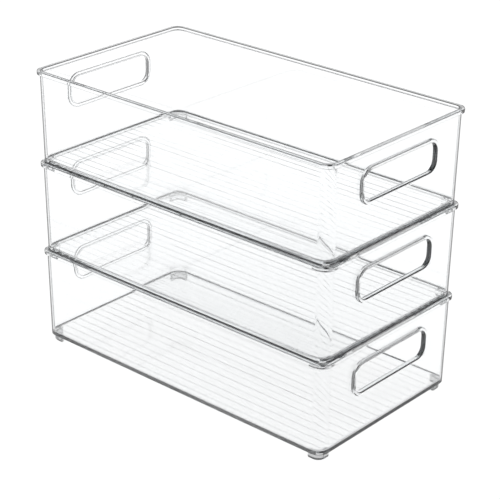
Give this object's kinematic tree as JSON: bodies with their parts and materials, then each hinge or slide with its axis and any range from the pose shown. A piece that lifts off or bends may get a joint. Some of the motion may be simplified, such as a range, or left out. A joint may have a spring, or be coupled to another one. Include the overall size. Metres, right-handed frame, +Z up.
{
  "type": "fridge bin",
  "caption": "Stack of clear moulded fridge bins, each an open rectangular tub with a thick rim, a framed hand slot in each end wall, a ribbed floor and corner feet that nest in the rim below.",
  "frame": {"origin": "on the surface that the stack stands on, under the centre of the bottom bin", "axes": "+X along the long side, +Y across the width, +Z up"},
  "size_m": [0.3682, 0.2032, 0.2908],
  "materials": {
    "clear_plastic": "clear polished injection-moulded polystyrene"
  },
  "bodies": {
    "bottom_bin": {"bottom_bin_tub": "clear_plastic"},
    "middle_bin": {"middle_bin_tub": "clear_plastic"},
    "top_bin": {"top_bin_tub": "clear_plastic"}
  },
  "joints": [
    {"name": "middle_bin_lift", "type": "slide", "parent": "bottom_bin", "child": "middle_bin", "axis": [0, 0, 1], "range_m": [0, 0.12]},
    {"name": "top_bin_lift", "type": "slide", "parent": "middle_bin", "child": "top_bin", "axis": [0, 0, 1], "range_m": [0, 0.12]}
  ]
}
